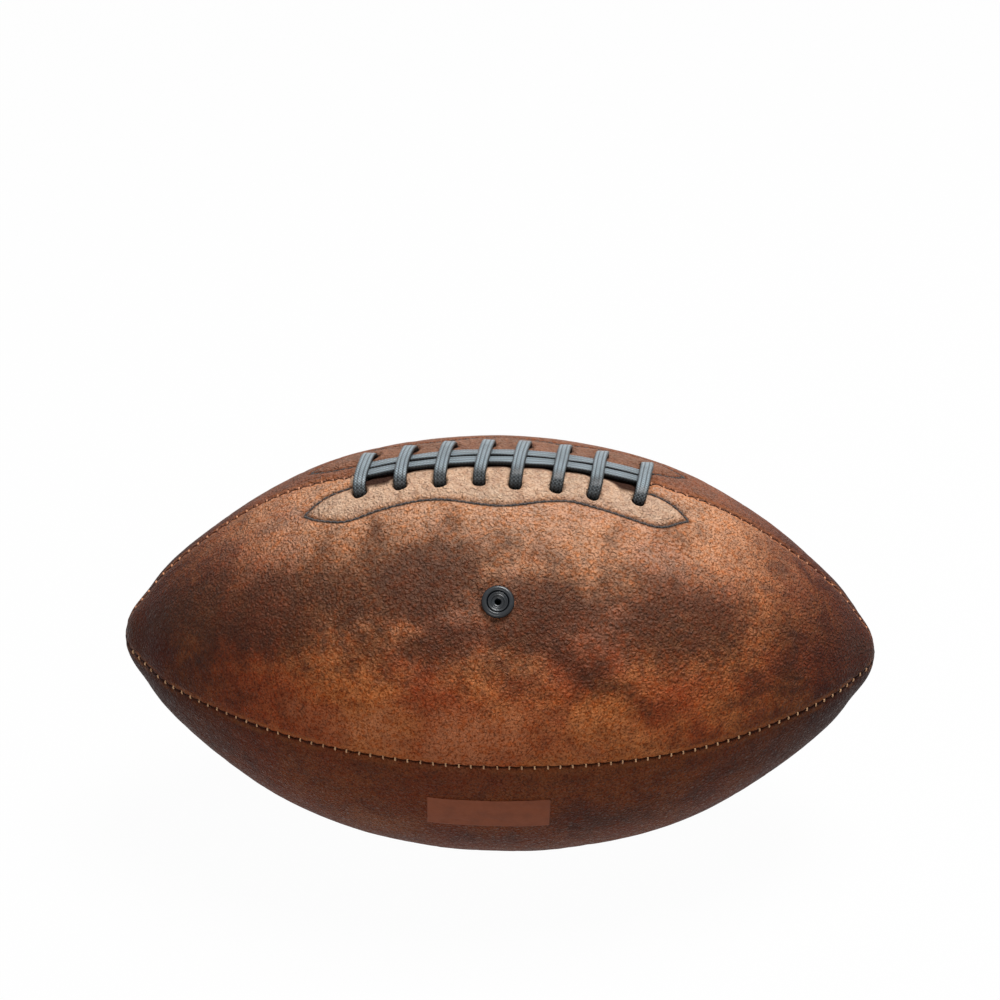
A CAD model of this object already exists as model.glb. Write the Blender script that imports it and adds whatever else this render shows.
"""A laced leather american football on a pale floor. Sizes are in millimetres until a mesh is made."""

import math

import bpy
import numpy as np
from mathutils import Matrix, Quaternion, Vector


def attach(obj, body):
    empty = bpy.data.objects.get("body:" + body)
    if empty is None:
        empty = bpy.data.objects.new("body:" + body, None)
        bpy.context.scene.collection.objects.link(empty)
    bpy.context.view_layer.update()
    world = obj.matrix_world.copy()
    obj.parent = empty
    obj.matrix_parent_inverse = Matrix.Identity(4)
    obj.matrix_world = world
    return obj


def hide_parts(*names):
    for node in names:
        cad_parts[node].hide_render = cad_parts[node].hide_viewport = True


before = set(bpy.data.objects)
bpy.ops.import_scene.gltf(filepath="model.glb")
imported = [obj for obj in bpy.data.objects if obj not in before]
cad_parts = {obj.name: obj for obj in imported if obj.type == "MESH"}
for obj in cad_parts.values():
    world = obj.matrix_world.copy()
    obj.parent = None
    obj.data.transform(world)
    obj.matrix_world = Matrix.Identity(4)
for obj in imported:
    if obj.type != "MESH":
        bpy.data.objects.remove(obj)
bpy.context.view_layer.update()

MM = 0.001

# The ball's form

BALL_LENGTH = 280.0
BALL_DIAMETER = 155.4
NOSE_R = 25.0
BALL_R = BALL_DIAMETER / 2
NOSE_X = BALL_LENGTH / 2 - NOSE_R
BELLY_R = (NOSE_X**2 + BALL_R**2 - NOSE_R**2) / (2 * (BALL_R - NOSE_R))
BELLY_DROP = BELLY_R - BALL_R
TURN = math.atan2(NOSE_X, BELLY_DROP)
BELLY_ARC = BELLY_R * TURN
TIP_ARC = BELLY_ARC + NOSE_R * (math.pi / 2 - TURN)

LEATHER_T = 2.2
FOLD_DEPTH = 5.0
VALLEY_W = 1.5
VALLEY_D = 0.9

# The lace seam wanders a little off the top of the ball beyond the lace: [along, towards the front]
LACE_SEAM_WANDER = [(-170, 0), (-135, -2.8), (-112, -5.4), (-92, -6.3), (-72, -3.3), (-60, -0.8), (-50, 0),
                    (50, 0), (60, 0.8), (90, -0.4), (140, -1.2), (170, 0)]
# and the front seam runs a little below the ball's side
FRONT_SEAM_WANDER = [(-170, 0), (-150, 1.8), (-128, 3.2), (-100, 2.6), (-60, 3.0), (0, 3.4), (60, 3.0),
                     (100, 2.1), (140, 0.9), (170, 0)]


def outline(m, h=0.0):
    """The ball's outline at a distance m along it and a height h above the leather: x, and radius."""
    m = np.asarray(m, float)
    on_belly = np.abs(m) < BELLY_ARC
    a = np.where(on_belly, m / BELLY_R, np.sign(m) * (TURN + (np.abs(m) - BELLY_ARC) / NOSE_R))
    x = np.where(on_belly, (BELLY_R + h) * np.sin(a), np.sign(m) * NOSE_X + (NOSE_R + h) * np.sin(a))
    r = np.where(on_belly, (BELLY_R + h) * np.cos(a) - BELLY_DROP, (NOSE_R + h) * np.cos(a))
    return x, r


def on_ball(m, turn, h=0.0):
    """Points m along the ball, turned from its top towards the front by turn radians, h above the leather."""
    x, r = outline(m, h)
    return np.stack([x + 0 * turn, -r * np.sin(turn), r * np.cos(turn) + BALL_R], -1)


def outward(m, turn):
    """The direction straight out of the leather there."""
    return on_ball(m, turn, 1.0) - on_ball(m, turn)


def skin(m, s, h=0.0):
    """Points m along the ball, s across from its top line towards the front, h above the leather."""
    return on_ball(m, np.asarray(s, float) / outline(m)[1], h)


def smoothstep(low, high, v):
    t = np.clip((v - low) / (high - low), 0, 1)
    return t * t * (3 - 2 * t)


def bell(v, width):
    return np.exp(-((v / width) ** 2))


def smooth_curve(points, steps):
    """A smooth curve through points, with so many steps between two of them."""
    p = np.asarray(points, float)
    p = np.vstack([2 * p[0] - p[1], p, 2 * p[-1] - p[-2]])
    t = (np.arange(steps) / steps)[:, None]
    out = [
        0.5 * (2 * b + (c - a) * t + (2 * a - 5 * b + 4 * c - d) * t**2 + (3 * b - a - 3 * c + d) * t**3)
        for a, b, c, d in zip(p[:-3], p[1:-2], p[2:-1], p[3:])
    ]
    return np.vstack(out + [p[-2][None]])


def even_places(path, pitch):
    """Places spaced evenly along a path, by about pitch, and the path's direction there."""
    run = np.r_[0, np.cumsum(np.linalg.norm(np.diff(path, axis=0), axis=1))]
    count = int(run[-1] / pitch)
    want = (np.arange(count) + 0.5) * run[-1] / count
    at = lambda w: np.stack([np.interp(w, run, path[:, k]) for k in range(path.shape[1])], -1)
    return at(want), at(want + pitch / 4) - at(want - pitch / 4)


LATTICE = 64


def rough(p, size, seed):
    """A smooth random field of about that size, from -1 to 1."""
    q = p / size
    cell = np.floor(q).astype(int)
    f = q - cell
    f = f * f * (3 - 2 * f)
    lattice = np.random.default_rng(seed).uniform(-1, 1, (LATTICE,) * 3)
    near, far = cell % LATTICE, (cell + 1) % LATTICE
    value = 0
    for steps in np.ndindex(2, 2, 2):
        a, b, c = (f[..., axis] if step else 1 - f[..., axis] for axis, step in enumerate(steps))
        corner = tuple((far if step else near)[..., axis] for axis, step in enumerate(steps))
        value = value + a * b * c * lattice[corner]
    return value


def uneven(at, size, seed):
    """A smooth random run of values along a line, from -1 to 1."""
    return rough(np.stack([at, 0 * at, 0 * at], -1), size, seed)


# The lace's layout, as in the solids

CROSSINGS = 8
LACE_PITCH = 14.2
LACE_W = 4.8
LACE_T = 1.9
HOLE_REACH = 12.4
LACE_LEAN = 3.6
LACE_GAP = 0.45
SEAT = 0.3
LAYER_GAP = 0.1
FACING_T = 1.4
FACING_HALF_LENGTH = 70.3
FACING_SHIFT = -2.7
FACING_W = 25.8

FACING_BOTTOM = LEATHER_T + LAYER_GAP + FACING_T
LACE_IN = FACING_BOTTOM + SEAT + LACE_T / 2
STRAND_H = SEAT + LACE_T / 2
CROSSING_H = STRAND_H + LACE_T + LACE_GAP
FIRST_CROSSING = -LACE_PITCH * (CROSSINGS - 1) / 2
LANE = LACE_GAP / 2 + LACE_W / 2
LANE_IN = 1.12 * LANE
DIVE = -FIRST_CROSSING + LACE_T / 2 + 2 * SEAT
TURN_REACH = DIVE + 1.35 * LACE_W

# The lace is pulled tight by hand, so its crossings lie a little unevenly
CROSSING_SHIFTS = [-0.04, 0, 0.01, 0, -0.1, -0.07, -0.13, 0.04]
# and most of its front holes lie a little further from the seam
FRONT_REACH_SHARES = [0, 0, 0.09, 0.12, 0.24, 0.24, 0.3, 0.14]

WAVE_SHARES = [
    (-1, 0.618), (-0.94, 0.757), (-0.87, 0.861), (-0.78, 0.952), (-0.71, 0.948), (-0.56, 0.878),
    (-0.4, 0.835), (-0.27, 0.857), (-0.1, 0.965), (0.02, 1), (0.13, 0.957), (0.24, 0.878),
    (0.37, 0.818), (0.51, 0.852), (0.66, 0.913), (0.79, 0.944), (0.87, 0.887), (0.94, 0.74), (1, 0.618),
]
POINT_SHARES = [(1, 0.618), (0.955, 0.488), (0.89, 0.371), (0.82, 0.318), (0.75, 0.297)]


def facing_path(shares, end=1):
    """A stretch of the facing's stitched line: its long wave, or the point at its end -1 or 1."""
    return smooth_curve([(FACING_SHIFT + end * a * FACING_HALF_LENGTH, b * FACING_W) for a, b in shares], 12)


FACING_PATHS = facing_path(WAVE_SHARES), facing_path(POINT_SHARES, -1), facing_path(POINT_SHARES, 1)


def crossing_m(i):
    return FIRST_CROSSING + (i + CROSSING_SHIFTS[i]) * LACE_PITCH


def hole_m(i, side):
    """Where the lace's hole i lies along the ball, at the front (side 1) or the rear (side -1)."""
    return crossing_m(i) - side * LACE_LEAN / 2


def hole_s(i, side):
    """How far that hole lies from the seam."""
    return HOLE_REACH * (1 + FRONT_REACH_SHARES[i] if side > 0 else 1)


# Meshes


def placed(name, data):
    """A new object in the scene that shows some data."""
    obj = bpy.data.objects.new(name, data)
    bpy.context.scene.collection.objects.link(obj)
    return obj


def final_mesh(obj):
    """A plain mesh of what an object's modifiers make of it."""
    bpy.context.view_layer.update()
    return bpy.data.meshes.new_from_object(obj.evaluated_get(bpy.context.evaluated_depsgraph_get()))


def make_mesh(name, points, faces, attributes=None):
    """A mesh object at the origin from points in millimetres."""
    mesh = bpy.data.meshes.new(name)
    mesh.from_pydata((np.asarray(points) * MM).tolist(), [], [list(map(int, f)) for f in faces])
    mesh.polygons.foreach_set("use_smooth", [True] * len(mesh.polygons))
    for key, values in (attributes or {}).items():
        values = np.asarray(values, np.float32)
        kind = "FLOAT" if values.ndim == 1 else "FLOAT_VECTOR"
        layer = mesh.attributes.new(key, kind, "POINT")
        layer.data.foreach_set("value" if values.ndim == 1 else "vector", values.ravel())
    mesh.update()
    return placed(name, mesh)


def tube_faces(rings, sides):
    """Faces of a tube of rings, each with so many sides, whose ends are capped."""
    r, k = np.meshgrid(np.arange(rings - 1), np.arange(sides), indexing="ij")
    a = (r * sides + k).ravel()
    b = (r * sides + (k + 1) % sides).ravel()
    faces = np.stack([a, b, b + sides, a + sides], -1).tolist()
    return faces + [list(range(sides - 1, -1, -1)), [(rings - 1) * sides + i for i in range(sides)]]


def make_solid(name, points, faces, attributes=None):
    """A closed mesh object whose faces point outwards."""
    obj = make_mesh(name, points, faces, attributes)
    mesh = obj.data
    mesh.calc_loop_triangles()
    tris = np.empty(len(mesh.loop_triangles) * 3, int)
    mesh.loop_triangles.foreach_get("vertices", tris)
    a, b, c = (points[tris.reshape(-1, 3)[:, k]] for k in range(3))
    if np.einsum("ij,ij->i", a, np.cross(b, c)).sum() < 0:
        mesh.flip_normals()
    return obj


def finish_piece(obj, material, slot, *nodes):
    """Dresses a piece, lets it ride on the ball and stand for its CAD nodes."""
    obj.data.materials.clear()
    obj.data.materials.append(material)
    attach(obj, "root")
    if nodes:
        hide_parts(*nodes)


# Node trees


class Socket:
    """An output socket that takes part in Python expressions, each of which adds its Math node."""

    def __init__(self, tree, socket):
        self.tree, self.socket = tree, socket

    def _math(self, operation, *values):
        return self.tree.node("ShaderNodeMath", {"operation": operation}, *values)

    __add__ = __radd__ = lambda self, other: self._math("ADD", self, other)
    __mul__ = __rmul__ = lambda self, other: self._math("MULTIPLY", self, other)
    __sub__ = lambda self, other: self._math("SUBTRACT", self, other)
    __rsub__ = lambda self, other: self._math("SUBTRACT", other, self)
    __truediv__ = lambda self, other: self._math("DIVIDE", self, other)
    __pow__ = lambda self, other: self._math("POWER", self, other)
    __neg__ = lambda self: self._math("MULTIPLY", self, -1.0)
    sin = lambda self: self._math("SINE", self)
    abs = lambda self: self._math("ABSOLUTE", self)

    def clamped(self):
        return self.tree.node("ShaderNodeClamp", {}, self)

    def rise(self, low, high):
        """0 below low, 1 above high, and smooth between them."""
        smooth = {"interpolation_type": "SMOOTHSTEP"}
        return self.tree.node("ShaderNodeMapRange", smooth, self, low, high, 0.0, 1.0)


class Tree:
    """A node tree in the making."""

    def __init__(self, tree):
        self.tree = tree

    def add(self, kind, settings, *values, **named):
        """A node of a type with its settings, and values or links by place or by name."""
        made = self.tree.nodes.new(kind)
        for key, value in settings.items():
            setattr(made, key, value)
        live = [s for s in made.inputs if s.enabled and not s.hide]
        pairs = list(zip(live, values))
        pairs += [(next(s for s in live if s.name.replace(" ", "_") == k), v) for k, v in named.items()]
        for socket, value in pairs:
            if value is None:
                continue
            if isinstance(value, Socket):
                self.tree.links.new(value.socket, socket)
            elif isinstance(value, (tuple, list)) and socket.type == "RGBA" and len(value) == 3:
                socket.default_value = (*value, 1.0)
            else:
                socket.default_value = value
        return made

    def node(self, kind, settings, *values, out=0, **named):
        """The same, giving the node's output of that name or place."""
        made = self.add(kind, settings, *values, **named)
        outputs = [s for s in made.outputs if s.enabled]
        found = outputs[out] if isinstance(out, int) else next(s for s in outputs if s.name == out)
        return Socket(self, found)


class Shader(Tree):
    """A material in the making."""

    def __init__(self, name):
        self.material = bpy.data.materials.new(name)
        self.material.use_nodes = True
        super().__init__(self.material.node_tree)
        self.tree.nodes.clear()
        self.place = self.node("ShaderNodeVectorMath", {"operation": "SCALE"},
                               self.node("ShaderNodeTexCoord", {}, out="Object"), Scale=1000.0)

    def noise(self, size, detail=3.0, roughness=0.55, distortion=0.0):
        """Noise whose lumps are about that many millimetres across, from 0 to 1."""
        return self.node("ShaderNodeTexNoise", {}, self.place, Scale=1.0 / size, Detail=detail,
                         Roughness=roughness, Distortion=distortion)

    def noise_colour(self, size):
        """Noise in three directions, from -0.5 to 0.5."""
        found = self.node("ShaderNodeTexNoise", {}, self.place, Scale=1.0 / size, Detail=2.0, out="Color")
        return self.node("ShaderNodeVectorMath", {"operation": "SUBTRACT"}, found, (0.5, 0.5, 0.5))

    def place_axis(self, axis):
        return self.node("ShaderNodeSeparateXYZ", {}, self.place, out=axis)

    def attribute(self, name):
        return self.node("ShaderNodeAttribute", {"attribute_name": name}, out="Fac")

    def mix(self, share, a, b, blend="MIX"):
        """Colour a turned into colour b by a share."""
        return self.node("ShaderNodeMix", {"data_type": "RGBA", "blend_type": blend}, share, a, b)

    def bump(self, height, distance, strength=1.0, normal=None):
        """Normals from a height of 0 to 1, which stands for a real distance in millimetres."""
        return self.node("ShaderNodeBump", {}, Height=height, Distance=distance * MM, Strength=strength,
                         Normal=normal)

    def surface(self, **sockets):
        """Ends the material in a principled surface."""
        made = self.add("ShaderNodeBsdfPrincipled", {}, **sockets)
        output = self.add("ShaderNodeOutputMaterial", {})
        self.tree.links.new(made.outputs[0], output.inputs[0])
        return self.material


def srgb(r, g, b):
    """A colour as written in a picture editor, from 0 to 255, made linear."""
    linear = lambda v: v / 12.92 if v <= 0.04045 else ((v + 0.055) / 1.055) ** 2.4
    return tuple(linear(v / 255) for v in (r, g, b))


class Growth(Tree):
    """A Geometry Nodes tree in the making, with named inputs."""

    def __init__(self, name, **sizes):
        tree = bpy.data.node_groups.new(name, "GeometryNodeTree")
        super().__init__(tree)
        tree.interface.new_socket("Geometry", in_out="INPUT", socket_type="NodeSocketGeometry")
        for key, value in sizes.items():
            made = tree.interface.new_socket(key, in_out="INPUT", socket_type="NodeSocketFloat")
            made.default_value = value
        tree.interface.new_socket("Geometry", in_out="OUTPUT", socket_type="NodeSocketGeometry")
        self.inputs = tree.nodes.new("NodeGroupInput")

    def given(self, name):
        return Socket(self, self.inputs.outputs[name])

    def end(self, geometry, material):
        """Realizes the instances, sets the material and closes the tree."""
        solid = self.node("GeometryNodeRealizeInstances", {}, geometry)
        painted = self.node("GeometryNodeSetMaterial", {}, solid, Material=material)
        output = self.tree.nodes.new("NodeGroupOutput")
        self.tree.links.new(painted.socket, output.inputs[0])
        return self.tree


def grow(name, seed_points, attributes, tree, **sizes):
    """Runs a Geometry Nodes tree on loose points, and keeps what grows as a plain mesh."""
    base = make_mesh(name + "_seed", seed_points, [], attributes)
    modifier = base.modifiers.new(name, "NODES")
    modifier.node_group = tree
    for item in tree.interface.items_tree:
        if item.in_out == "INPUT" and item.name in sizes:
            modifier[item.identifier] = sizes[item.name]
    mesh = final_mesh(base)
    mesh.name = name
    bpy.data.objects.remove(base)
    return placed(name, mesh)


# The leather's face

SETTLE = 0.2
SEAM_PITCH = 4.5
SLIT_HALF = 1.25
SLIT_END = 50.0
FACING_PITCH = 2.6
VALVE_TURN = math.radians(47.3)
VALVE_SHIFT = -1.1
HEAD_R = 5.8
FRONT_PANEL, LOWER_FRONT, LOWER_REAR, REAR_PANEL = range(4)


def wandering(places, m):
    along, sideways = smooth_curve(places, 8).T
    return np.interp(m, along, sideways)


def seam_turn(k, m):
    """Turn of seam k at m: 0 and 4 the lace seam, 1 the front one, 2 the bottom one and 3 the rear one."""
    m = np.asarray(m, float)
    wander = {0: LACE_SEAM_WANDER, 4: LACE_SEAM_WANDER, 1: FRONT_SEAM_WANDER}.get(k)
    return k * math.pi / 2 + (wandering(wander, m) / outline(m)[1] if wander else 0 * m)


def facing_mask(m, s):
    """Distance to the facing's stitched line, and 1 inside it or 0 outside it."""
    wave, left, right = FACING_PATHS
    right = right[::-1]
    line = np.vstack([wave, left, right])
    gap = np.full(m.shape, 99.0)
    near = (np.abs(m - FACING_SHIFT) < FACING_HALF_LENGTH + 12) & (s < FACING_W + 12) & (s > -9)
    pm, ps = m[near], s[near]
    best = np.full(pm.shape, 99.0)
    for some in np.array_split(np.arange(len(pm)), len(pm) // 2000 + 1):
        dm, ds = pm[some, None] - line[None, :, 0], ps[some, None] - line[None, :, 1]
        best[some] = np.sqrt((dm**2 + ds**2).min(1)) if len(some) else 0
    gap[near] = best
    outer = np.interp(m, *wave.T, left=-20, right=-20)
    inner = np.where(m < FACING_SHIFT, np.interp(m, *left.T, right=-20), np.interp(m, *right.T, left=-20))
    return gap, ((s < outer) & (s > inner)).astype(float)


def tied(m):
    """Where a crossing of the lace pulls the lips of the slit down."""
    return sum(bell(m - crossing_m(i), 4.0) for i in range(CROSSINGS))


def gaping(m):
    """Where the lips gape under the lace, between its last two crossings at each end."""
    return sum(bell(m - (crossing_m(i) + crossing_m(i + 1)) / 2, 5.5) for i in (0, CROSSINGS - 2))


SEWN_GROOVE, PADDING, SWELL = 0.62, 0.8, 0.22
HOLE_DIMPLE, HOLE_RIM, HOLE_FOLD = 2.2, 0.35, 0.55
LIP_DROP, STRAND_DIMPLE = 0.9, 1.9


def lace_height(m, s, side):
    """What the lace and its facing do to the leather at s from the top line, on one side of it."""
    gap, inside = facing_mask(m, s)
    pull = 0.5 + 0.5 * np.cos(2 * math.pi * m / FACING_PITCH)
    h = -SEWN_GROOVE * bell(gap, 0.9) - 0.12 * pull * bell(gap, 1.6)
    h += PADDING * inside * smoothstep(0.3, 5.0, gap) + SWELL * (1 - inside) * bell(gap - 3.5, 2.6)
    for i in range(CROSSINGS):
        along = m - hole_m(i, side)
        reach = hole_s(i, side)
        away = np.hypot(along, s - reach)
        h += HOLE_RIM * bell(away - 4.0, 1.3) - HOLE_DIMPLE * np.exp(-((away / 2.75) ** 4))
        # The lace's pull folds the leather from each hole towards the seam
        towards = smoothstep(0, 0.5, 1 - s / reach) * (s < reach)
        h -= HOLE_FOLD * bell(along, 2.4) * towards
        ripple = rough(np.stack([along * 1.6, s * 0.5, 0 * s], -1), 2.2, 70 + i)
        h -= 0.30 * np.abs(ripple) * bell(away - 3.5, 4.5)
    opened = 1 - smoothstep(SLIT_END, SLIT_END + 6, np.abs(m))
    h -= (LIP_DROP * (1 + gaping(m)) + 0.5 * tied(m)) * opened * (1 - smoothstep(3.0, 8.0 + 2.0 * gaping(m), s))
    for end in (-1, 1):
        h -= STRAND_DIMPLE * bell(m - end * DIVE, 1.7) * (1 - smoothstep(4.6, 6.2, s))
    return h


def fullness(m):
    """How the filled ball swells at its shoulders and tapers towards its tips."""
    return 0.8 * bell(np.abs(m) - 72, 30) - 1.4 * bell(TIP_ARC - np.abs(m) - 17, 10)


SEAM_DRAW, LEFT_TIP_DENT, VALVE_DIMPLE = 0.35, 0.5, 0.5


def leather_height(quarter, m, turn):
    """Height of a panel's face over the ball's outline."""
    radius = outline(m)[1]
    start, end = seam_turn(quarter, m), seam_turn(quarter + 1, m)
    edge = np.minimum(turn - start, end - turn) * radius
    points = on_ball(m, turn)
    tip = smoothstep(0, 22, TIP_ARC - np.abs(m))
    roll = np.clip(1 - edge / VALLEY_W, 0, 1)
    h = -SETTLE - VALLEY_D * (1 - np.sqrt(np.maximum(1 - roll**2, 0)))
    # Stitches draw the edge down, and the leather swells a little behind the roll
    draw = 0.5 + 0.5 * np.cos(2 * math.pi * m / SEAM_PITCH)
    h += SWELL * bell(edge - 5.5, 4.0) * tip - SEAM_DRAW * draw * bell(edge - 0.7, 1.2)
    # Slow lumps and fine creases of a ball that has been played with
    h += fullness(m) + (0.32 * rough(points, 46, 3) + 0.16 * rough(points, 17, 5)) * tip
    h += 0.05 * rough(points, 3.4, 11)
    h -= 0.12 * smoothstep(0.86, 1.0, 1 - np.abs(rough(points * [0.55, 1, 1], 7.5, 8)))
    if quarter == FRONT_PANEL:
        h += lace_height(m, turn * radius, 1) - LEFT_TIP_DENT * bell(TIP_ARC + m, 7)
        off = np.hypot(m - VALVE_SHIFT, (turn - VALVE_TURN) * radius)
        h -= VALVE_DIMPLE * bell(off - HEAD_R - 0.6, 1.3)
    if quarter == REAR_PANEL:
        h += lace_height(m, (2 * math.pi - turn) * radius, -1)
    closing = np.minimum(1, (end - start) * radius / 6)
    return h * closing - SETTLE * (1 - closing)


# Patches rubbed dark, or pale where the strength is below 0:
# [along, degrees from the top, half length, half width, lean, strength]
STAINS = [
    (-118, 38, 20, 14, -10, 0.7), (-114, 70, 6, 16, 0, 0.5), (-48, 29, 5, 12, 0, 0.6),
    (-66, 31, 4, 17, 15, 0.35), (-19, 22, 4, 9, 0, 0.45), (-82, 40, 11, 8, 0, 0.35),
    (43, 70, 36, 6, 30, 0.75), (6, 57, 13, 5, 5, 0.6), (70, 52, 24, 12, 25, 0.3), (-30, 29, 30, 8, 0, 0.12),
    (114, 72, 8, 8, 0, 0.6), (65, 22, 11, 6, -35, 0.55), (42, 27, 4, 14, 30, 0.35), (90, 78, 15, 8, 0, 0.45),
    (-26, 58, 12, 5, 0, 0.35), (-57, 74, 15, 7, 15, 0.35), (-89, 83, 15, 7, 20, 0.4),
    (39, 116, 24, 10, 0, 0.8), (-64, 107, 16, 7, 10, 0.3), (81, 109, 17, 8, -10, 0.6),
    (-6, 126, 24, 8, 0, 0.5), (0, 150, 70, 12, 0, 0.6), (-60, 215, 36, 14, 20, 0.7),
    (40, 235, 40, 11, -20, 0.8), (-10, 200, 28, 9, 10, 0.6), (90, 215, 28, 11, 0, 0.6),
    (-70, 305, 34, 10, 30, 0.7), (0, 290, 40, 9, -10, 0.5), (60, 318, 30, 8, 20, 0.6),
    (100, 290, 24, 11, 0, 0.6), (-110, 285, 24, 11, 0, 0.7), (-40, 122, 18, 9, 0, -0.8),
    (-8, 132, 22, 7, 0, -0.5),
]
# Broad bands: [degrees from the top, half width, along, half length, strength, how much more where mottled]
BANDS = [
    (50, 18, 0, math.inf, 0.68, 0.8), (28, 8, -30, 50, 0.15, 0), (48, 15, -30, 60, 0.76, 0.95),
    (83, 12, -8, 75, -0.72, -0.9),
]


def stain(m, turn):
    """How far the leather is darkened at each place, or faded where it is below 0, by bands and patches."""
    points = on_ball(m, turn)
    warp_m, warp_s, fine = 4 * rough(points, 16, 21), 4 * rough(points, 14, 22), rough(points, 6, 23)
    down, mottle = np.degrees(turn), 0.45 * rough(points, 15, 24) + 0.3 * rough(points, 6, 25)
    total = 0
    for degrees, wide, along, length, strength, more in BANDS:
        total = total + bell(down - degrees, wide) * bell(m - along, length) * (strength + more * mottle)
    for along, degrees, length, wide, lean, strength in STAINS:
        a, b = m - along + warp_m, (turn - math.radians(degrees)) * outline(m)[1] + warp_s
        c, d = math.cos(math.radians(lean)), math.sin(math.radians(lean))
        away = np.hypot((a * c + b * d) / length, (b * c - a * d) / wide)
        total = total + strength * (1 - smoothstep(0.0, 1.6, away + 0.25 * fine))
    return np.tanh(total)


# Panels

PANEL_ROWS = 560
EDGE_D = np.array([0.0, 0.2, 0.5, 0.9, 1.4, 2.0, 2.7, 3.6, 4.6])
MIDDLE_COLUMNS = 132
TIP_GAP = 0.5
SEAM_GAP = 0.04
INNER_SHARE = 1.04


def seam_gap(k, m):
    """Half the gap between two panels at seam k: nothing much, but the slit under the lace."""
    slit = SLIT_HALF * (1 - smoothstep(SLIT_END, SLIT_END + 6, np.abs(m)))
    return SEAM_GAP + (slit if k in (0, 4) else 0 * m)


def seam_depth(k, m):
    """How deep the leather is turned in at seam k."""
    shallow = LEATHER_T + LAYER_GAP
    if k in (0, 4):
        off = np.abs(wandering(LACE_SEAM_WANDER, m))
        return shallow + (FOLD_DEPTH - shallow) * smoothstep(54, 62, np.abs(m)) * (1 - smoothstep(0.5, 2, off))
    return FOLD_DEPTH + 0 * m


HOLLOW_REACH, HOLLOW_GAPE = 7.0, {FRONT_PANEL: 6.0, REAR_PANEL: 1.0}
HOLLOW_PLACE, HOLLOW_LENGTH = 45.5, 5.5


def hollow(quarter, m, s):
    """How much the lace shades the lips of the slit under it, more so on the front, where they gape."""
    if s is None:
        return 0 * m
    gape = np.minimum(1, 1.6 * bell(np.abs(m) - HOLLOW_PLACE, HOLLOW_LENGTH))
    reach = HOLLOW_REACH + HOLLOW_GAPE[quarter] * gape
    return (np.abs(m) < SLIT_END) * (1 - smoothstep(0.75 * reach, reach, s))


def panel(name, quarter):
    """One leather panel: a closed shell whose edges roll down into the seams."""
    m = np.linspace(-TIP_ARC + TIP_GAP, TIP_ARC - TIP_GAP, PANEL_ROWS)
    radius = outline(m)[1]
    first, last = seam_gap(quarter, m), seam_gap(quarter + 1, m)
    start = seam_turn(quarter, m) + first / radius
    width = (seam_turn(quarter + 1, m) - last / radius - start) * radius
    reach = np.minimum(EDGE_D[-1], 0.3 * width)
    near = reach[:, None] * EDGE_D / EDGE_D[-1]
    share = np.linspace(0, 1, MIDDLE_COLUMNS + 2)[1:-1]
    middle = reach[:, None] + share * (width - 2 * reach)[:, None]
    across = np.hstack([near, middle, width[:, None] - near[:, ::-1]])
    turn = start[:, None] + across / radius[:, None]
    along = np.repeat(m[:, None], across.shape[1], 1)
    h = leather_height(quarter, along, turn)

    # The edges turn down into the seams, and the shell's inner side runs back under the leather
    fold = np.minimum(LEATHER_T, 0.25 * width)
    under = -INNER_SHARE * LEATHER_T + 0 * m

    def turned_in(k, offset, top, inwards):
        bottom = -seam_depth(k, m)
        down = [(offset, top + t * (bottom - top)) for t in (0.3, 0.65, 1.0)]
        return down + [(offset + inwards * fold, bottom), (offset + inwards * fold, under)]

    inner = [(width - fold - t * (width - 2 * fold), under) for t in np.linspace(0, 1, 7)[1:-1]]
    hidden = turned_in(quarter + 1, width, h[:, -1], -1) + inner
    hidden += turned_in(quarter, 0 * m, h[:, 0], 1)[::-1]
    lower_turn = np.stack([start + offset / radius for offset, _ in hidden], 1)
    lower = on_ball(np.repeat(m[:, None], len(hidden), 1), lower_turn, np.stack([v for _, v in hidden], 1))
    points = np.concatenate([on_ball(along, turn, h), lower], 1)

    def everywhere(face, below=0.0):
        return np.hstack([face, np.full(lower_turn.shape, below)]).ravel()

    side = {FRONT_PANEL: turn * radius[:, None],
            REAR_PANEL: (2 * math.pi - turn) * radius[:, None]}.get(quarter)
    gap, inside = facing_mask(along, side) if side is not None else (99 + 0 * turn, 0 * turn)
    attributes = {
        "seam": everywhere(np.minimum(across, width[:, None] - across)),
        "facing": everywhere(inside * smoothstep(0, 3, gap)),
        "line": everywhere(np.maximum(bell(gap, 0.85), hollow(quarter, along, side))),
        "stain": everywhere(stain(along, turn), 0.5),
    }
    return make_solid(name, points.reshape(-1, 3), tube_faces(*points.shape[:2]), attributes)


def cut_round(obj, holes):
    """Cuts round holes through a panel: [along, turn, radius]."""
    points, faces, sides, below, above = [], [], 40, 4.5, 3
    for m, turn, radius in holes:
        centre = on_ball(m, turn)
        out = outward(m, turn)
        along = np.cross(out, [0, math.cos(turn), math.sin(turn)])
        along /= np.linalg.norm(along)
        aside = np.cross(out, along)
        a = np.arange(sides) * math.tau / sides
        ring = radius * (np.cos(a)[:, None] * along + np.sin(a)[:, None] * aside)
        base = len(points)
        points += list(centre + ring - below * out) + list(centre + ring + above * out)
        faces += [[base + i for i in face] for face in tube_faces(2, sides)]
    cutter = make_solid("cutter", np.array(points), faces)
    modifier = obj.modifiers.new("holes", "BOOLEAN")
    modifier.operation, modifier.solver, modifier.object = "DIFFERENCE", "EXACT", cutter
    mesh = final_mesh(obj)
    obj.modifiers.clear()
    obj.data = mesh
    bpy.data.objects.remove(cutter)


# The lace

LACE_SIDES = 24
LACE_STEP = 0.5
LACE_SWAY = 0.12
LACE_TWIST = 0.1


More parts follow.
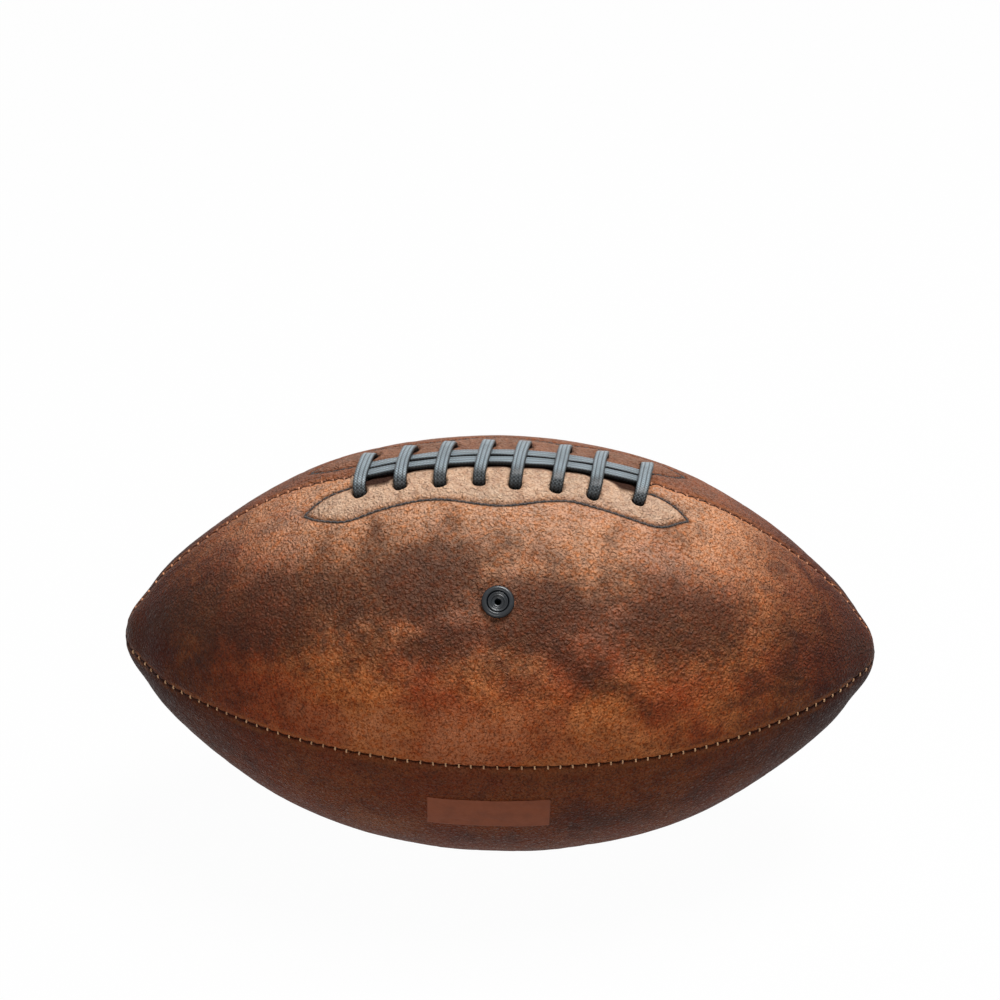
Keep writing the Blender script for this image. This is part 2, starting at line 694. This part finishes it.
def lace_rings():
    """The lace's way: [along, across, height, how far its width is turned from along to across]."""
    top = CROSSING_H
    places = [(-1, -FACING_BOTTOM + LACE_T / 2), (-1, -LEATHER_T / 2), (-0.97, 0.35 * top), (-0.85, 0.68 * top),
              (-0.62, 0.9 * top), (-0.32, top), (0, top)]
    places += [(-a, h) for a, h in places[-2::-1]]
    inside = [(0.07, 1), (0.16, 0), (0.38, 0), (0.62, 0), (0.84, 0), (0.93, 1)]
    stub = [(DIVE - k * LACE_W, LANE_IN, -LACE_IN, 1) for k in (1.15, 0.7, 0.25)]
    stub += [(DIVE, LANE_IN, -FACING_BOTTOM, 1), (DIVE, 1.05 * LANE, -LEATHER_T / 2, 1)]
    stub += [(DIVE - 0.06 * LACE_W, LANE, 0.55 * STRAND_H, 1)]
    strand = [(FIRST_CROSSING + i * LACE_PITCH / 2, LANE, STRAND_H, 1)
              for i in range(2 * CROSSINGS - 2, -1, -1)]
    strand += [(-DIVE + 0.06 * LACE_W, LANE, 0.55 * STRAND_H, 1)]
    turn = lambda reach: [
        (-DIVE, 1.05 * LANE, -LEATHER_T / 2, 1), (-DIVE, LANE_IN, -FACING_BOTTOM, 1),
        (-DIVE - 0.25 * LACE_W, LANE_IN, -LACE_IN, 1), (-DIVE - 0.62 * LACE_W, 0.8 * LANE, -LACE_IN, 0.85),
        (-TURN_REACH + 0.12 * LACE_W, -0.05 * LANE, -LACE_IN, 0.5),
        (-TURN_REACH + 0.1 * LACE_W, -1.45 * LANE, -LACE_IN, 0.1),
        (-DIVE - 0.42 * LACE_W, -reach + 0.95 * LACE_W, -LACE_IN, -0.3),
        (hole_m(0, -1) - 0.62 * LACE_W, -reach + 0.36 * LACE_W, -LACE_IN, -0.4),
        (hole_m(0, -1) - 0.2 * LACE_W, -reach + 0.12 * LACE_W, -LACE_IN + LACE_T / 8, -0.3),
    ]
    rings = stub + strand + turn(hole_s(0, -1))
    for i in range(CROSSINGS):
        rings += [(crossing_m(i) - a * LACE_LEAN / 2, a * hole_s(i, a), h, 0) for a, h in places]
        if i < CROSSINGS - 1:
            a, b, c, d = hole_m(i, 1), hole_m(i + 1, -1), hole_s(i, 1), -hole_s(i + 1, -1)
            rings += [(a + (b - a) * t, c + (d - c) * t, -LACE_IN + k * LACE_T / 8, 0) for t, k in inside]
    way_back = stub + strand + turn(hole_s(CROSSINGS - 1, 1))
    return np.array(rings + [(-m, -s, h, w) for m, s, h, w in way_back[::-1]])


def evened(values, width):
    """Rows of values smoothed along their length, the ends kept."""
    kernel = np.exp(-0.5 * (np.arange(-3 * width, 3 * width + 1) / width) ** 2)
    padded = np.vstack([np.repeat(values[:1], 3 * width, 0), values, np.repeat(values[-1:], 3 * width, 0)])
    return np.stack([np.convolve(c, kernel / kernel.sum(), "valid") for c in padded.T], -1)


def unit(v):
    return v / np.linalg.norm(v, axis=-1, keepdims=True)


def lace_piece():
    """The whole lace as one flat cord with soft edges and two shallow grooves."""
    rings = lace_rings()
    m, s, h, w = rings.T
    path = skin(m, s, h)
    across = s / outline(m)[1]
    a = w * math.pi / 2
    aim = np.stack([np.cos(a), -np.sin(a) * np.cos(across), -np.sin(a) * np.sin(across)], -1)
    run = np.r_[0, np.cumsum(np.linalg.norm(np.diff(path, axis=0), axis=1))]
    at = np.arange(0, run[-1], LACE_STEP)
    spread = lambda v: np.stack([np.interp(at, run, c) for c in v.T], -1)
    path, aim = evened(spread(path), 2), evened(spread(aim), 3)
    out = unit(path - np.stack([path[:, 0] * 0.8, 0 * at, 0 * at + BALL_R], -1))
    sway = uneven(at, 9, 31)
    tilt = uneven(at, 13, 32)
    forward = unit(np.gradient(path, axis=0))
    side = unit(aim - (aim * forward).sum(-1, keepdims=True) * forward)
    face = np.cross(forward, side)
    angle = LACE_TWIST * tilt[:, None]
    side, face = side * np.cos(angle) + face * np.sin(angle), face * np.cos(angle) - side * np.sin(angle)
    path = path + LACE_SWAY * (sway[:, None] * side - 0.5 * np.abs(tilt)[:, None] * out)
    a = (np.arange(LACE_SIDES) + 0.5) * math.tau / LACE_SIDES
    u = np.sign(np.cos(a)) * np.abs(np.cos(a)) ** 0.55
    v = np.sign(np.sin(a)) * np.abs(np.sin(a)) ** 0.75
    v = v * (1 - 0.16 * np.exp(-(((np.abs(u) - 0.42) / 0.2) ** 2)))
    wide = LACE_W / 2 * (0.97 + 0.03 * sway)[:, None]
    thick = LACE_T / 2 * (0.96 + 0.04 * tilt)[:, None]
    points = path[:, None] + (u * wide)[..., None] * side[:, None] + (v * thick)[..., None] * face[:, None]
    attributes = {"lace_run": np.repeat(at, LACE_SIDES), "lace_side": np.tile(u, len(at)) * LACE_W / 2}
    return make_solid("lace_cord", points.reshape(-1, 3), tube_faces(len(at), LACE_SIDES), attributes)


# Stitches


def stitch_tree(name, material):
    """Thread stitches on points: each a twisted thread that lies along one axis and bows out."""
    g = Growth(name, Length=0.003, Thickness=0.0008, Bow=0.0004, Turns=2.0)
    length, thick, bow = g.given("Length"), g.given("Thickness"), g.given("Bow")
    start, end = (g.node("ShaderNodeCombineXYZ", {}, length / half) for half in (-2, 2))
    line = g.node("GeometryNodeCurvePrimitiveLine", {"mode": "POINTS"}, start, end)
    line = g.node("GeometryNodeResampleCurve", {"mode": "COUNT"}, line, Count=9)
    where = g.node("ShaderNodeSeparateXYZ", {}, g.node("GeometryNodeInputPosition", {}), out="X")
    share = where / length
    line = g.node("GeometryNodeSetCurveTilt", {}, line, Tilt=share * g.given("Turns") * math.tau)
    rise = bow * (1 - share * share * 4)
    lift = g.node("ShaderNodeCombineXYZ", {}, 0.0, 0.0, rise)
    line = g.node("GeometryNodeSetPosition", {}, line, Offset=lift)
    ring = g.node("GeometryNodeCurvePrimitiveCircle", {"mode": "RADIUS"}, Resolution=8, Radius=thick / 2)
    ring = g.node("GeometryNodeTransform", {}, ring, Scale=(1.0, 0.66, 1.0))
    thread = g.node("GeometryNodeCurveToMesh", {}, line, Profile_Curve=ring, Fill_Caps=True)
    named = {"data_type": "FLOAT_VECTOR"}
    out, lie = (g.node("GeometryNodeInputNamedAttribute", named, key) for key in ("out", "lie"))
    aimed = g.node("FunctionNodeAxesToRotation", {"primary_axis": "Z", "secondary_axis": "X"}, out, lie)
    points = g.node("GeometryNodeMeshToPoints", {}, g.given("Geometry"))
    many = g.node("GeometryNodeInstanceOnPoints", {}, points, Instance=thread, Rotation=aimed)
    return g.end(many, material)


def seam_places(k, opened):
    """Places of the stitches over seam k: points, outward directions and their lie across the seam."""
    end = TIP_ARC - 2 * SEAM_PITCH
    m = np.arange(-math.floor(end / SEAM_PITCH), math.floor(end / SEAM_PITCH) + 1) * SEAM_PITCH
    m = m[np.abs(m) >= opened]
    m = m + 0.25 * uneven(m, 5, 40 + k)
    turn = seam_turn(k, m)
    points = on_ball(m, turn, fullness(m) - SETTLE - 0.5 * VALLEY_D)
    out = outward(m, turn)
    lie = unit(on_ball(m, turn + 0.02) - on_ball(m, turn))
    skew = 0.16 * uneven(m, 4, 50 + k)[:, None]
    return points, out, unit(lie + skew * np.cross(out, lie))


def facing_places(side):
    """Places of the facing's stitches, on one side of the lace seam."""
    quarter = FRONT_PANEL if side > 0 else REAR_PANEL
    places, ways = zip(*(even_places(path, FACING_PITCH) for path in FACING_PATHS))
    m, s = np.vstack(places).T
    way = np.vstack(ways)
    turn = s / outline(m)[1]
    if side < 0:
        turn = 2 * math.pi - turn
    h = leather_height(quarter, m, turn)
    out = outward(m, turn)
    ahead = on_ball(m + 0.2 * way[:, 0], turn + side * 0.2 * way[:, 1] / outline(m)[1]) - on_ball(m, turn)
    return on_ball(m, turn, h - 0.02), out, unit(ahead)


def stitches(name, places, material, slot, node, **sizes):
    """One piece of many stitches, in place of its CAD node."""
    points, out, lie = places
    tree = stitch_tree(name + "_tree", material)
    finish_piece(grow(name, points, {"out": out, "lie": lie}, tree, **sizes), material, slot, node)


# The valve and the sticker

LATHE_SIDES = 72


def lathe(name, profile):
    """A ring turned from a closed profile of [radius, height], standing out of the ball at the valve."""
    profile = np.array(profile, float)
    out = np.array([0, -math.sin(VALVE_TURN), math.cos(VALVE_TURN)])
    along, aside = np.array([1.0, 0, 0]), np.array([0, -math.cos(VALVE_TURN), -math.sin(VALVE_TURN)])
    a = np.arange(LATHE_SIDES) * math.tau / LATHE_SIDES
    ring = np.cos(a)[:, None] * along + np.sin(a)[:, None] * aside
    centre = np.array([VALVE_SHIFT, 0, BALL_R])
    points = centre + profile[None, :, 0, None] * ring[:, None] + (BALL_R + profile[None, :, 1, None]) * out
    count = len(profile)
    r, k = np.meshgrid(np.arange(LATHE_SIDES), np.arange(count), indexing="ij")
    at = lambda i, j: (i % LATHE_SIDES) * count + j % count
    faces = np.stack([at(r, k), at(r + 1, k), at(r + 1, k + 1), at(r, k + 1)], -1).reshape(-1, 4)
    return make_solid(name, points.reshape(-1, 3), faces)


def rounded(centre, radius, first, last, steps=7):
    """Points of an arc in a profile, from one angle to another in degrees."""
    a = np.radians(np.linspace(first, last, steps))
    return [(centre[0] + radius * math.cos(v), centre[1] + radius * math.sin(v)) for v in a]


def valve_pieces():
    """The rubber valve with its head, flange and stem, and the core that grips the needle."""
    collar = rounded((4.7, -0.3), 1.1, 0, 84, 11)
    collar += [(4.3, 0.8), (4.05, 0.72), (3.9, 0.5), (3.86, 0.1), (3.7, 0.02)]
    collar += [(3.66, -0.9), (3.68, -3.6), (2.7, -3.6), (2.7, -16.4), (1.8, -16.5), (1.8, -19)]
    collar += rounded((3.1, -17.7), 1.3, -90, 0, 5) + [(4.4, -3.7), (11, -4.3), (11, -3.2), (5.75, -2.35)]
    core = [(1.0, -14), (2.55, -16), (2.6, -3.5), (3.58, -3.4), (3.58, 0.1)]
    core += rounded((3.35, 0.2), 0.2, 0, 90, 5)
    core += [(3.0, 0.36), (2.86, 0.1), (2.6, 0.1), (2.45, 0.3), (2.3, 0.32), (2.2, -0.1)]
    core += rounded((1.7, -0.9), 0.7, 60, 180, 7)
    return lathe("valve_collar", collar), lathe("valve_needle_seat", core)


STICKER_ALONG = -24.5, 19.5
STICKER_DEGREES = 104.8, 116.5
STICKER_LEAN = 0.012
STICKER_LIFT, STICKER_T = 0.02, 0.14


def sticker():
    """A bare thin sticker that follows the lower front panel."""
    low, high = STICKER_ALONG
    first, last = map(math.radians, STICKER_DEGREES)
    m, t = np.meshgrid(np.linspace(low, high, 90), np.linspace(0, 1, 34), indexing="ij")
    turn = first + t * (last - first) - STICKER_LEAN * (m - low) / (high - low)
    turn = turn + 0.004 * rough(on_ball(m, turn), 9, 61) * np.abs(2 * t - 1) ** 4
    # It bridges the leather's finest creases, and curls up a little along its long edges
    bed = leather_height(LOWER_FRONT, m, turn)
    bed = 0.5 * bed + 0.5 * evened(evened(bed, 4).T, 3).T
    bed = bed + 0.05 * smoothstep(0.8, 1, np.abs(2 * t - 1)) + 0.04 * rough(on_ball(m, turn), 12, 62)
    top = on_ball(m, turn, bed + STICKER_LIFT + STICKER_T)
    bottom = on_ball(m, turn, bed + STICKER_LIFT)
    rows, columns = m.shape
    grid = np.arange(rows * columns).reshape(rows, columns)
    quads = np.stack([grid[:-1, :-1], grid[1:, :-1], grid[1:, 1:], grid[:-1, 1:]], -1).reshape(-1, 4)
    rim = np.r_[grid[0, :-1], grid[:-1, -1], grid[-1, :0:-1], grid[:0:-1, 0]]
    after = np.roll(rim, -1)
    below = rows * columns
    sides = np.stack([rim, after, after + below, rim + below], -1)
    faces = np.vstack([quads, quads[:, ::-1] + below, sides]).tolist()
    return make_solid("sticker", np.concatenate([top.reshape(-1, 3), bottom.reshape(-1, 3)]), faces)


# Finishes

AMBER, RUST = srgb(186, 111, 62), srgb(152, 75, 41)
BROWN, UMBER = srgb(102, 48, 26), srgb(40, 3, 0)
PALE, GLINT, FADED = srgb(182, 160, 138), srgb(216, 162, 106), srgb(200, 126, 86)
SOOT, DARKEST = srgb(56, 31, 19), srgb(34, 12, 5)


def leather(name, age, shade):
    """Pebbled leather, browner with age, rubbed dark in patches and at the tips, paler over the facings."""
    g = Shader(name)
    sway = g.node("ShaderNodeVectorMath", {"operation": "SCALE"}, g.noise_colour(1.9), Scale=1.9)
    place = g.node("ShaderNodeVectorMath", {"operation": "ADD"}, g.place, sway)
    cracks = lambda size: g.node("ShaderNodeTexVoronoi", {"feature": "DISTANCE_TO_EDGE"}, place, Scale=1 / size)
    pebble, creases = cracks(1.7).rise(0.0, 0.42), cracks(3.4).rise(0.0, 0.16)
    small = g.node("ShaderNodeTexVoronoi", {"feature": "SMOOTH_F1"}, place, Scale=1 / 0.75, Smoothness=0.8)
    slow, patch, cloud = g.noise(34, 4), g.noise(10, 6, 0.62, distortion=0.8), g.noise(4.2, 5, 0.65)
    fine, speck = g.noise(1.5, 5, 0.62), g.noise(0.75, 4, 0.6)
    stained, facing, seam = g.attribute("stain"), g.attribute("facing"), g.attribute("seam")
    faded = (-stained).rise(0.05, 0.9)
    stained = (stained * 1.05 + (cloud - 0.5) * 0.9 * stained.rise(0.02, 0.5)).clamped()
    tip = (g.place_axis(0).abs() + (patch - 0.5) * 36).rise(66, 130)
    high = (g.place_axis(2) + (cloud - 0.5) * 30).rise(96, 156)
    colour = g.mix((slow.rise(0.38, 0.6) + 0.25 * high).clamped() * (1 - age), RUST, AMBER)
    colour = g.mix(patch.rise(0.44, 0.7) * 0.65, colour, BROWN)
    colour = g.mix(cloud.rise(0.5, 0.7) * 0.4, colour, BROWN)
    colour = g.mix(faded * 0.75, colour, FADED)
    colour = g.mix(high * (0.52 - 0.25 * age), colour, PALE)
    colour = g.mix(facing * (0.62 - 0.55 * age), colour, PALE)
    colour = g.mix(facing * cloud.rise(0.42, 0.68) * 0.35, colour, BROWN)
    colour = g.mix(tip * 0.92, colour, UMBER)
    colour = g.mix((stained * (1 - facing * 0.7)).rise(0.0, 0.95) * 0.84, colour, SOOT)
    colour = g.mix(fine.rise(0.46, 0.6) * (0.64 - 0.25 * tip) * (1 - 0.7 * facing), colour, GLINT, "SOFT_LIGHT")
    colour = g.mix(speck.rise(0.47, 0.64) * (0.58 - 0.33 * facing), colour, DARKEST)
    colour = g.mix((1 - pebble) * (0.28 - 0.08 * facing) * fine.rise(0.35, 0.65), colour, DARKEST)
    colour = g.mix((1 - seam.rise(0.0, 0.7)) * 0.85, colour, DARKEST)
    worn = seam.rise(0.6, 1.1) * (1 - seam.rise(1.4, 3.2)) * patch.rise(0.38, 0.6)
    colour = g.mix(worn * 0.45, colour, AMBER)
    line = g.attribute("line")
    colour = g.mix(line * 0.97, colour, DARKEST)
    colour = g.mix(shade, colour, DARKEST)
    height = pebble * 0.45 + (1 - small) * 0.25 + fine * 0.55 + speck * 0.15
    colour = g.mix((1 - creases) * (0.05 + 0.12 * high) * patch.rise(0.35, 0.6), colour, DARKEST)
    normal = g.bump(height, 0.95, 1.0, g.bump(g.noise(5, 4) + creases * (0.05 + 0.16 * high), 0.6, 0.7))
    dull = 0.44 + (fine - 0.5) * 0.3 + (1 - pebble) * 0.2 + line * 0.45
    return g.surface(Base_Color=colour, Roughness=dull, Normal=normal, Specular_IOR_Level=0.1)


RIB, PICK = 1.6, 1.15


def woven(name, dark, light):
    """Flat waxed cord: ribs along it, crossed by fine slanting picks."""
    g = Shader(name)
    run, side = g.attribute("lace_run"), g.attribute("lace_side")
    ends = g.place_axis(1).abs().rise(8.5, 13) * 0.85
    ribs = ((side / RIB + 0.5) * math.pi).sin().abs() ** 0.7
    one, two = (((run + side * lean) * (math.pi / PICK)).sin().abs() for lean in (0.8, -0.8))
    picks = one * two
    fuzz, slow = g.noise(0.4, 2), g.noise(11, 3)
    height = ribs * 0.5 + picks * 0.5 + fuzz * 0.1
    colour = g.mix(picks.rise(0.02, 0.5) * 0.85 + 0.15, dark, light)
    colour = g.mix((1 - ribs).rise(0.25, 0.85) * 0.85, colour, dark)
    colour = g.mix(side.abs().rise(1.5, 2.3) * 0.88, colour, dark)
    colour = g.mix(slow.rise(0.45, 0.75) * 0.3, colour, dark)
    colour = g.mix(ends, colour, dark)
    return g.surface(Base_Color=colour, Roughness=0.3 + fuzz * 0.15, Normal=g.bump(height, 0.55), IOR=1.5,
                     Coat_Weight=0.2, Coat_Roughness=0.3, Specular_IOR_Level=0.2)


def thread(name, colour, dirt):
    """Twisted thread, dirtied in places."""
    g = Shader(name)
    fibres, slow = g.noise(0.25, 2), g.noise(7, 3)
    tint = g.mix(slow.rise(0.4, 0.7) * 0.7, colour, dirt)
    tint = g.mix(fibres.rise(0.35, 0.7) * 0.3, tint, dirt)
    return g.surface(Base_Color=tint, Roughness=0.75 + fibres * 0.15, Normal=g.bump(fibres, 0.12),
                     Sheen_Weight=0.2)


def rubber(name, colour, light, gloss=0.0):
    """Dull rubber with a bloom of dust."""
    g = Shader(name)
    dust, fine = g.noise(3.5, 4), g.noise(0.4, 2)
    tint = g.mix(dust.rise(0.45, 0.8) * 0.5, colour, light)
    return g.surface(Base_Color=tint, Roughness=0.35 + dust * 0.2, Normal=g.bump(fine, 0.04), Coat_Weight=gloss,
                     Coat_Roughness=0.2, Specular_IOR_Level=0.2)


def suede(name, colour, dark):
    """Cloth or split leather of the inner layers, with a crossed weave."""
    g = Shader(name)
    weave = ((g.place_axis(0) * 3.1).sin() * (g.place_axis(1) * 3.1).sin()).abs()
    nap = g.noise(0.8, 3)
    tint = g.mix(nap.rise(0.3, 0.75) * 0.7, colour, dark)
    return g.surface(Base_Color=tint, Roughness=0.85, Normal=g.bump(weave * 0.5 + nap, 0.15), Sheen_Weight=0.2)


def sticker_finish():
    """Worn bare paper, toned by the leather."""
    g = Shader("bare_sticker")
    wear, fine = g.noise(5, 4), g.noise(0.9, 3)
    tint = g.mix(wear.rise(0.38, 0.72) * 0.4, srgb(128, 70, 46), srgb(96, 50, 32))
    return g.surface(Base_Color=tint, Roughness=0.55 + fine * 0.2, Normal=g.bump(wear * 0.5 + fine, 0.1),
                     Specular_IOR_Level=0.2)


# The camera, the lights and the floor

# The camera, fitted to the photograph's outline of the ball, with its distance in metres
EYE_DEGREES = 32.0
EYE_AWAY = 1.083
ROLL_DEGREES = 1.5
LENS, SENSOR, SHIFT_UP = 104.5, 36.0, 0.1433
FLOOR_R, FLOOR_DROP = 6000, 0.3
GLOW, GLOW_SHARE = 1.06, 0.92


def make_camera():
    data = bpy.data.cameras.new("camera")
    data.lens, data.sensor_width, data.shift_y = LENS, SENSOR, SHIFT_UP
    data.clip_start, data.clip_end = 0.05, 50
    camera = placed("camera", data)
    e = math.radians(EYE_DEGREES)
    back = Vector((0, -math.cos(e), math.sin(e)))
    camera.location = Vector((0, 0, BALL_R * MM)) + back * EYE_AWAY
    camera.rotation_mode = "QUATERNION"
    roll = Quaternion((0, 0, 1), math.radians(ROLL_DEGREES))
    camera.rotation_quaternion = (-back).to_track_quat("-Z", "Y") @ roll
    bpy.context.scene.camera = camera


def area_light(name, place, size, power):
    """A round lamp that looks at the ball's middle."""
    data = bpy.data.lights.new(name, "AREA")
    data.shape, data.size, data.energy = "DISK", size, power
    lamp = placed(name, data)
    lamp.location = place
    lamp.rotation_mode = "QUATERNION"
    lamp.rotation_quaternion = (Vector((0, 0, 0.08)) - Vector(place)).to_track_quat("-Z", "Y")


def white_rays(tree):
    """1 for the rays that see a white background: the camera's, and those off gloss and through glass."""
    seen = tree.node("ShaderNodeLightPath", {}, out="Is Camera Ray")
    for name in ("Is Glossy Ray", "Is Transmission Ray"):
        ray = tree.node("ShaderNodeLightPath", {}, out=name)
        seen = tree.node("ShaderNodeMath", {"operation": "MAXIMUM"}, seen, ray)
    return seen


def make_studio():
    area_light("top_light", (0.35, 0.22, 1.6), 0.9, 50)
    area_light("front_light", (-0.4, -1.8, 0.5), 1.2, 17)
    world = bpy.data.worlds.new("studio")
    world.use_nodes = True
    bpy.context.scene.world = world
    sky = Tree(world.node_tree)
    sky.tree.nodes.clear()
    plain = sky.node("ShaderNodeBackground", {}, (1.0, 1.0, 1.0), 0.04)
    white = sky.node("ShaderNodeBackground", {}, (1.0, 1.0, 1.0), 1.0)
    ended = sky.node("ShaderNodeMixShader", {}, white_rays(sky), plain, white)
    sky.tree.links.new(ended.socket, sky.add("ShaderNodeOutputWorld", {}).inputs[0])

    a = np.arange(96) * math.tau / 96
    rim = np.stack([FLOOR_R * np.cos(a), FLOOR_R * np.sin(a), 0 * a - FLOOR_DROP], -1)
    floor = make_mesh("floor", rim, [list(range(96))])
    g = Shader("floor_finish")
    grey = g.mix(g.noise(900, 2) * 0.04, (0.14, 0.14, 0.14), (0.12, 0.12, 0.12))
    paper = g.node("ShaderNodeBsdfDiffuse", {}, grey)
    glow = g.node("ShaderNodeEmission", {}, (1.0, 1.0, 1.0), Strength=GLOW)
    ended = g.node("ShaderNodeMixShader", {}, white_rays(g) * GLOW_SHARE, paper, glow)
    g.tree.links.new(ended.socket, g.add("ShaderNodeOutputMaterial", {}).inputs[0])
    floor.data.materials.append(g.material)


# The ball

bpy.context.scene.view_settings.view_transform = "Standard"
make_camera()
make_studio()

front_leather, rear_leather = leather("front_leather", 0.0, 0.0), leather("rear_leather", 0.85, 0.48)
lower_leather = leather("lower_leather", 0.55, 0.57)
VALVE_HOLE = [(VALVE_SHIFT, VALVE_TURN, HEAD_R - 0.1)]
LACE_HOLE_R = 2.3
for name, quarter, node, slot, finish in (
    ("valve_panel_leather", FRONT_PANEL, "valve_panel", "leather_front", front_leather),
    ("lower_front_leather", LOWER_FRONT, "lower_front_panel", "leather_lower", lower_leather),
    ("lower_rear_leather", LOWER_REAR, "lower_rear_panel", "leather_rear", lower_leather),
    ("rear_lace_leather", REAR_PANEL, "rear_lace_panel", "leather_rear", rear_leather),
):
    piece = panel(name, quarter)
    side = {FRONT_PANEL: 1, REAR_PANEL: -1}.get(quarter)
    if side:
        places = [(hole_m(i, side), hole_s(i, side)) for i in range(CROSSINGS)]
        holes = [(m, side * s / outline(m)[1], LACE_HOLE_R) for m, s in places]
        cut_round(piece, holes + (VALVE_HOLE if side > 0 else []))
    finish_piece(piece, finish, slot, node)

finish_piece(lace_piece(), woven("lace_weave", srgb(4, 5, 6), srgb(136, 149, 156)), "lace", "lace")

seam_thread = thread("seam_thread_finish", srgb(222, 176, 130), srgb(156, 100, 64))
worn_thread = thread("worn_thread_finish", srgb(176, 118, 80), srgb(112, 68, 44))
black_thread = thread("facing_thread_finish", srgb(26, 22, 22), srgb(60, 48, 42))
# The stitches' sizes are in metres
SEAM_STITCH = {"Length": 0.0013, "Thickness": 0.0007, "Bow": 0.0003, "Turns": 1.2}
FACING_STITCH = {"Length": 0.00235, "Thickness": 0.00095, "Bow": 0.0003, "Turns": 1.2}
for name, seam, opened, finish in (
    ("lace_seam", 0, 53.0, worn_thread),
    ("front_seam", 1, 0.0, seam_thread),
    ("bottom_seam", 2, 0.0, seam_thread),
    ("rear_seam", 3, 0.0, seam_thread),
):
    places = seam_places(seam, opened)
    stitches(name + "_stitches", places, finish, "seam_thread", name + "_stitching", **SEAM_STITCH)
for name, side in (("front_facing", 1), ("rear_facing", -1)):
    places = facing_places(side)
    stitches(name + "_stitches", places, black_thread, "facing_thread", name + "_stitching", **FACING_STITCH)

collar, needle_seat = valve_pieces()
valve_rubber = rubber("valve_rubber", srgb(8, 12, 17), srgb(26, 34, 41), gloss=0.35)
finish_piece(collar, valve_rubber, "valve", "valve_body")
finish_piece(needle_seat, valve_rubber, "valve_core", "valve_core")
finish_piece(sticker(), sticker_finish(), "leather_lower")

cloth = suede("lining_cloth", srgb(196, 186, 168), srgb(140, 130, 112))
strap = suede("facing_leather", srgb(120, 78, 52), srgb(78, 48, 32))
flap = suede("tongue_leather", srgb(60, 48, 42), srgb(34, 28, 25))
bladder_rubber = rubber("bladder_rubber", srgb(34, 33, 34), srgb(70, 66, 62))
INNER = {
    "valve_panel_lining": cloth, "rear_lace_lining": cloth,
    "lower_front_lining": cloth, "lower_rear_lining": cloth,
    "front_lace_facing": strap, "rear_lace_facing": strap, "tongue": flap,
    "bladder": bladder_rubber, "valve_patch": bladder_rubber,
}
for node, finish in INNER.items():
    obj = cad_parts[node]
    if not obj.material_slots:
        obj.data.materials.append(finish)
    for place in obj.material_slots:
        place.material = finish
